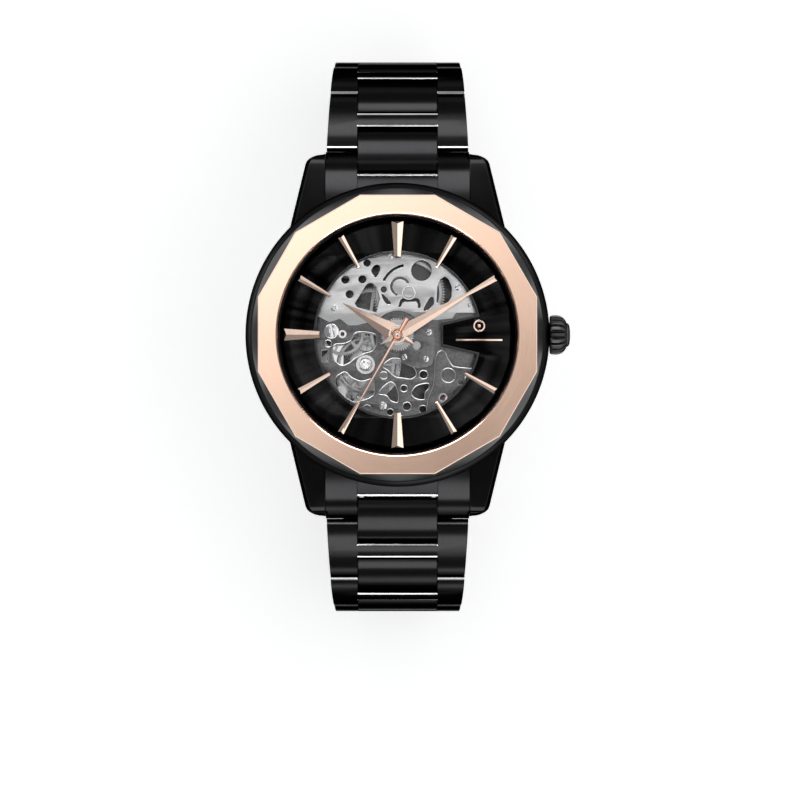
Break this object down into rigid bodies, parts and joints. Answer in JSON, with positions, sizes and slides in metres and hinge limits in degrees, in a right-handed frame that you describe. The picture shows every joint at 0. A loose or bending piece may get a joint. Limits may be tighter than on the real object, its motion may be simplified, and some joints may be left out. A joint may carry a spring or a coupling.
{
  "type": "wristwatch",
  "caption": "Round skeleton wristwatch with a twelve-sided bezel, open dial over a mechanical movement, link bracelet and folding clasp.",
  "frame": {"origin": "on the clasp's flat underside, below the centre of the dial", "axes": "+Z out of the dial, +Y to twelve o'clock, +X to the crown at three o'clock"},
  "size_m": [0.0449, 0.0786, 0.0464],
  "materials": {
    "black_steel": "polished and brushed black coating",
    "rose_gold": "polished rose gold plating",
    "grey_steel": "bead blasted and striped plates",
    "train_silver": "satin silvered wheels",
    "dial_black": "sunray brushed black",
    "crystal_glass": "clear"
  },
  "bodies": {
    "case": {"mid_case": "black_steel", "bezel_plate": "rose_gold", "crystal": "crystal_glass", "case_back": "grey_steel", "case_back_window": "crystal_glass", "movement_holder": "grey_steel", "dial": "dial_black", "main_plate": "grey_steel", "train_bridge": "grey_steel", "balance_cock": "grey_steel", "pallet_bridge": "grey_steel", "end_link_12": "black_steel", "end_link_6": "black_steel"},
    "minute_work": {"centre_wheel": "train_silver", "cannon_pinion": "grey_steel", "minute_hand": "rose_gold"},
    "hour_work": {"hour_wheel": "train_silver", "hour_hand": "rose_gold"},
    "seconds_work": {"seconds_hand": "rose_gold"},
    "barrel": {"barrel": "train_silver"},
    "third_wheel": {"third_wheel": "train_silver"},
    "fourth_wheel": {"fourth_wheel": "train_silver"},
    "escape_wheel": {"escape_wheel": "train_silver"},
    "minute_wheel": {"minute_wheel": "train_silver"},
    "pallet_fork": {"pallet_fork": "train_silver"},
    "rotor": {"rotor": "grey_steel"},
    "balance": {"balance_wheel": "train_silver", "hairspring": "grey_steel"},
    "stem_carrier": {"setting_lever": "grey_steel"},
    "crown": {"crown": "black_steel", "winding_stem": "grey_steel"},
    "centre_link_12_1": {"centre_link_12_1": "black_steel"},
    "outer_link_12_1": {"outer_link_12_1": "black_steel"},
    "centre_link_12_2": {"centre_link_12_2": "black_steel"},
    "outer_link_12_2": {"outer_link_12_2": "black_steel"},
    "centre_link_12_3": {"centre_link_12_3": "black_steel"},
    "outer_link_12_3": {"outer_link_12_3": "black_steel"},
    "centre_link_12_4": {"centre_link_12_4": "black_steel"},
    "outer_link_12_4": {"outer_link_12_4": "black_steel"},
    "centre_link_12_5": {"centre_link_12_5": "black_steel"},
    "outer_link_12_5": {"outer_link_12_5": "black_steel"},
    "centre_link_12_6": {"centre_link_12_6": "black_steel"},
    "outer_link_12_6": {"outer_link_12_6": "black_steel"},
    "centre_link_6_1": {"centre_link_6_1": "black_steel"},
    "outer_link_6_1": {"outer_link_6_1": "black_steel"},
    "centre_link_6_2": {"centre_link_6_2": "black_steel"},
    "outer_link_6_2": {"outer_link_6_2": "black_steel"},
    "centre_link_6_3": {"centre_link_6_3": "black_steel"},
    "outer_link_6_3": {"outer_link_6_3": "black_steel"},
    "centre_link_6_4": {"centre_link_6_4": "black_steel"},
    "outer_link_6_4": {"outer_link_6_4": "black_steel"},
    "centre_link_6_5": {"centre_link_6_5": "black_steel"},
    "outer_link_6_5": {"outer_link_6_5": "black_steel"},
    "centre_link_6_6": {"centre_link_6_6": "black_steel"},
    "outer_link_6_6": {"outer_link_6_6": "black_steel"},
    "clasp_blade_inner": {"clasp_blade_inner": "grey_steel"},
    "clasp_blade_outer": {"clasp_blade_outer": "grey_steel"},
    "clasp_cover": {"clasp_cover": "black_steel"},
    "clasp_button_left": {"clasp_button_left": "black_steel"},
    "clasp_button_right": {"clasp_button_right": "black_steel"}
  },
  "joints": [
    {"name": "minute_spin", "type": "hinge", "parent": "case", "child": "minute_work", "pos_m": [0, 0, 0.0406], "axis": [0, 0, -1], "continuous": true},
    {"name": "hour_spin", "type": "hinge", "parent": "case", "child": "hour_work", "pos_m": [0, 0, 0.0424], "axis": [0, 0, -1], "continuous": true},
    {"name": "seconds_spin", "type": "hinge", "parent": "case", "child": "seconds_work", "pos_m": [0, 0, 0.0447], "axis": [0, 0, -1], "continuous": true},
    {"name": "minute_wheel_spin", "type": "hinge", "parent": "case", "child": "minute_wheel", "pos_m": [0.0026, -0.0015, 0.0421], "axis": [0, 0, -1], "continuous": true},
    {"name": "barrel_spin", "type": "hinge", "parent": "case", "child": "barrel", "pos_m": [0.00158, 0.0058, 0.04], "axis": [0, 0, -1], "continuous": true},
    {"name": "third_wheel_spin", "type": "hinge", "parent": "case", "child": "third_wheel", "pos_m": [-0.00377, 0.00264, 0.0388], "axis": [0, 0, -1], "continuous": true},
    {"name": "fourth_wheel_spin", "type": "hinge", "parent": "case", "child": "fourth_wheel", "pos_m": [-0.00761, 0.0001, 0.0403], "axis": [0, 0, -1], "continuous": true},
    {"name": "escape_wheel_spin", "type": "hinge", "parent": "case", "child": "escape_wheel", "pos_m": [-0.0043, -0.0012, 0.04], "axis": [0, 0, -1], "continuous": true},
    {"name": "pallet_fork_rock", "type": "hinge", "parent": "case", "child": "pallet_fork", "pos_m": [-0.00292, -0.00251, 0.04], "axis": [0, 0, -1], "range_deg": [-6, 6]},
    {"name": "balance_swing", "type": "hinge", "parent": "case", "child": "balance", "pos_m": [-0.00442, -0.00412, 0.0392], "axis": [0, 0, -1], "range_deg": [-135, 135], "stiffness_Nm_per_rad": 0.0000004},
    {"name": "rotor_spin", "type": "hinge", "parent": "case", "child": "rotor", "pos_m": [0, 0, 0.0369], "axis": [0, 0, -1], "continuous": true},
    {"name": "crown_pull", "type": "slide", "parent": "case", "child": "stem_carrier", "axis": [1, 0, 0], "range_m": [0, 0.001]},
    {"name": "crown_spin", "type": "hinge", "parent": "stem_carrier", "child": "crown", "pos_m": [0.021, 0, 0.04025], "axis": [1, 0, 0], "continuous": true},
    {"name": "centre_link_12_1_pin", "type": "hinge", "parent": "case", "child": "centre_link_12_1", "pos_m": [0, 0.024, 0.0375], "axis": [1, 0, 0], "range_deg": [0, 18]},
    {"name": "outer_link_12_1_pin", "type": "hinge", "parent": "centre_link_12_1", "child": "outer_link_12_1", "pos_m": [0, 0.02704, 0.03651], "axis": [1, 0, 0], "range_deg": [0, 8]},
    {"name": "centre_link_12_2_pin", "type": "hinge", "parent": "outer_link_12_1", "child": "centre_link_12_2", "pos_m": [0, 0.03181, 0.03419], "axis": [1, 0, 0], "range_deg": [0, 17]},
    {"name": "outer_link_12_2_pin", "type": "hinge", "parent": "centre_link_12_2", "child": "outer_link_12_2", "pos_m": [0, 0.03415, 0.03201], "axis": [1, 0, 0], "range_deg": [0, 17]},
    {"name": "centre_link_12_3_pin", "type": "hinge", "parent": "outer_link_12_2", "child": "centre_link_12_3", "pos_m": [0, 0.0368, 0.02742], "axis": [1, 0, 0], "range_deg": [0, 16]},
    {"name": "outer_link_12_3_pin", "type": "hinge", "parent": "centre_link_12_3", "child": "outer_link_12_3", "pos_m": [0, 0.03757, 0.02431], "axis": [1, 0, 0], "range_deg": [0, 12]},
    {"name": "centre_link_12_4_pin", "type": "hinge", "parent": "outer_link_12_3", "child": "centre_link_12_4", "pos_m": [0, 0.03776, 0.01901], "axis": [1, 0, 0], "range_deg": [0, 6]},
    {"name": "outer_link_12_4_pin", "type": "hinge", "parent": "centre_link_12_4", "child": "outer_link_12_4", "pos_m": [0, 0.03753, 0.01582], "axis": [1, 0, 0], "range_deg": [0, 14]},
    {"name": "centre_link_12_5_pin", "type": "hinge", "parent": "outer_link_12_4", "child": "centre_link_12_5", "pos_m": [0, 0.0359, 0.01078], "axis": [1, 0, 0], "range_deg": [0, 14]},
    {"name": "outer_link_12_5_pin", "type": "hinge", "parent": "centre_link_12_5", "child": "outer_link_12_5", "pos_m": [0, 0.0342, 0.00807], "axis": [1, 0, 0], "range_deg": [0, 16]},
    {"name": "centre_link_12_6_pin", "type": "hinge", "parent": "outer_link_12_5", "child": "centre_link_12_6", "pos_m": [0, 0.03026, 0.00452], "axis": [1, 0, 0], "range_deg": [0, 16]},
    {"name": "outer_link_12_6_pin", "type": "hinge", "parent": "centre_link_12_6", "child": "outer_link_12_6", "pos_m": [0, 0.02738, 0.00312], "axis": [1, 0, 0], "range_deg": [0, 14]},
    {"name": "centre_link_6_1_pin", "type": "hinge", "parent": "case", "child": "centre_link_6_1", "pos_m": [0, -0.024, 0.0375], "axis": [-1, 0, 0], "range_deg": [0, 18]},
    {"name": "outer_link_6_1_pin", "type": "hinge", "parent": "centre_link_6_1", "child": "outer_link_6_1", "pos_m": [0, -0.02704, 0.03651], "axis": [-1, 0, 0], "range_deg": [0, 8]},
    {"name": "centre_link_6_2_pin", "type": "hinge", "parent": "outer_link_6_1", "child": "centre_link_6_2", "pos_m": [0, -0.03181, 0.03419], "axis": [-1, 0, 0], "range_deg": [0, 17]},
    {"name": "outer_link_6_2_pin", "type": "hinge", "parent": "centre_link_6_2", "child": "outer_link_6_2", "pos_m": [0, -0.03415, 0.03201], "axis": [-1, 0, 0], "range_deg": [0, 17]},
    {"name": "centre_link_6_3_pin", "type": "hinge", "parent": "outer_link_6_2", "child": "centre_link_6_3", "pos_m": [0, -0.0368, 0.02742], "axis": [-1, 0, 0], "range_deg": [0, 16]},
    {"name": "outer_link_6_3_pin", "type": "hinge", "parent": "centre_link_6_3", "child": "outer_link_6_3", "pos_m": [0, -0.03757, 0.02431], "axis": [-1, 0, 0], "range_deg": [0, 12]},
    {"name": "centre_link_6_4_pin", "type": "hinge", "parent": "outer_link_6_3", "child": "centre_link_6_4", "pos_m": [0, -0.03776, 0.01901], "axis": [-1, 0, 0], "range_deg": [0, 6]},
    {"name": "outer_link_6_4_pin", "type": "hinge", "parent": "centre_link_6_4", "child": "outer_link_6_4", "pos_m": [0, -0.03753, 0.01582], "axis": [-1, 0, 0], "range_deg": [0, 14]},
    {"name": "centre_link_6_5_pin", "type": "hinge", "parent": "outer_link_6_4", "child": "centre_link_6_5", "pos_m": [0, -0.0359, 0.01078], "axis": [-1, 0, 0], "range_deg": [0, 14]},
    {"name": "outer_link_6_5_pin", "type": "hinge", "parent": "centre_link_6_5", "child": "outer_link_6_5", "pos_m": [0, -0.0342, 0.00807], "axis": [-1, 0, 0], "range_deg": [0, 16]},
    {"name": "centre_link_6_6_pin", "type": "hinge", "parent": "outer_link_6_5", "child": "centre_link_6_6", "pos_m": [0, -0.03026, 0.00452], "axis": [-1, 0, 0], "range_deg": [0, 16]},
    {"name": "outer_link_6_6_pin", "type": "hinge", "parent": "centre_link_6_6", "child": "outer_link_6_6", "pos_m": [0, -0.02738, 0.00312], "axis": [-1, 0, 0], "range_deg": [0, 14]},
    {"name": "clasp_end_pin", "type": "hinge", "parent": "outer_link_6_6", "child": "clasp_blade_inner", "pos_m": [0, -0.0222, 0.00202], "axis": [-1, 0, 0], "range_deg": [0, 12]},
    {"name": "clasp_blade_hinge", "type": "hinge", "parent": "clasp_blade_inner", "child": "clasp_blade_outer", "pos_m": [0, 0.0175, 0.0023], "axis": [1, 0, 0], "range_deg": [0, 110]},
    {"name": "clasp_cover_hinge", "type": "hinge", "parent": "clasp_blade_outer", "child": "clasp_cover", "pos_m": [0, -0.019, 0.0013], "axis": [-1, 0, 0], "range_deg": [0, 85]},
    {"name": "clasp_button_left_push", "type": "slide", "parent": "clasp_cover", "child": "clasp_button_left", "axis": [1, 0, 0], "range_m": [0, 0.0005], "stiffness_N_per_m": 300},
    {"name": "clasp_button_right_push", "type": "slide", "parent": "clasp_cover", "child": "clasp_button_right", "axis": [-1, 0, 0], "range_m": [0, 0.0005], "stiffness_N_per_m": 300}
  ],
  "couplings": [
    {"joint": "hour_spin", "follows": "minute_spin", "ratio": 0.083333},
    {"joint": "seconds_spin", "follows": "minute_spin", "ratio": 60},
    {"joint": "minute_wheel_spin", "follows": "minute_spin", "ratio": -0.33333},
    {"joint": "barrel_spin", "follows": "minute_spin", "ratio": -0.16667},
    {"joint": "third_wheel_spin", "follows": "minute_spin", "ratio": -8},
    {"joint": "fourth_wheel_spin", "follows": "minute_spin", "ratio": 60},
    {"joint": "escape_wheel_spin", "follows": "minute_spin", "ratio": -540}
  ]
}
